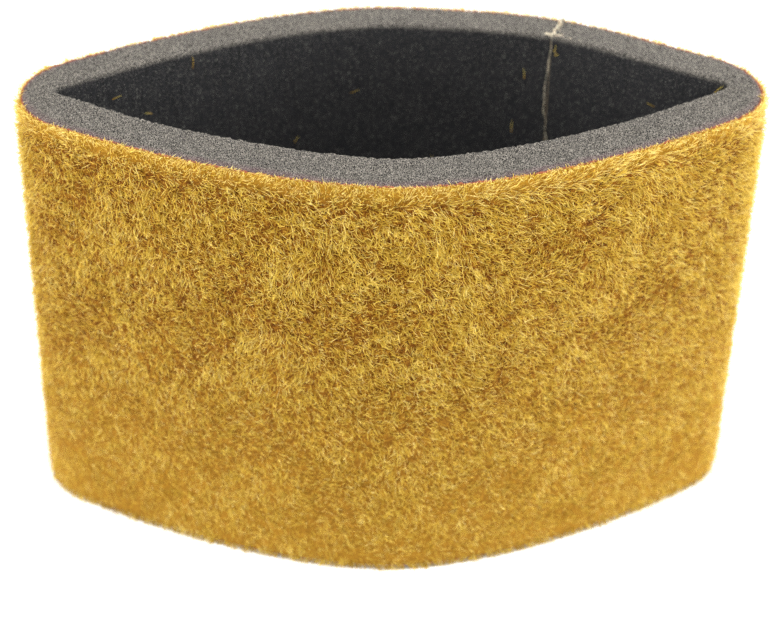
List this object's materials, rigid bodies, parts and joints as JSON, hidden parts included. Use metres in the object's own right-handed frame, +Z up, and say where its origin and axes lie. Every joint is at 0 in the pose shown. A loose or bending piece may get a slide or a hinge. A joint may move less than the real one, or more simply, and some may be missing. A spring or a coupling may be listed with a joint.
{
  "type": "air filter sleeve",
  "caption": "Lens-shaped foam air filter sleeve, open at both ends, with a flocked golden pile on the outside and one glued seam.",
  "frame": {"origin": "middle of the lower rim, in the plane the sleeve stands on", "axes": "+Z up the sleeve towards the upper rim, X from fold to fold, +Y towards the wall that holds the seam"},
  "size_m": [0.1602, 0.0846, 0.099],
  "materials": {
    "foam": "open-cell polyurethane foam, matt, cut rims paler",
    "adhesive": "dull rust-brown flock adhesive",
    "pile": "short golden fibre pile with a soft sheen",
    "glue": "dried contact cement, cream to tan"
  },
  "bodies": {
    "root": {"foam_strip": "foam", "flock_adhesive": "adhesive", "flock_pile": "pile", "seam_glue_film": "glue", "seam_glue_bead": "glue", "seam_glue_dab": "glue"}
  },
  "joints": []
}
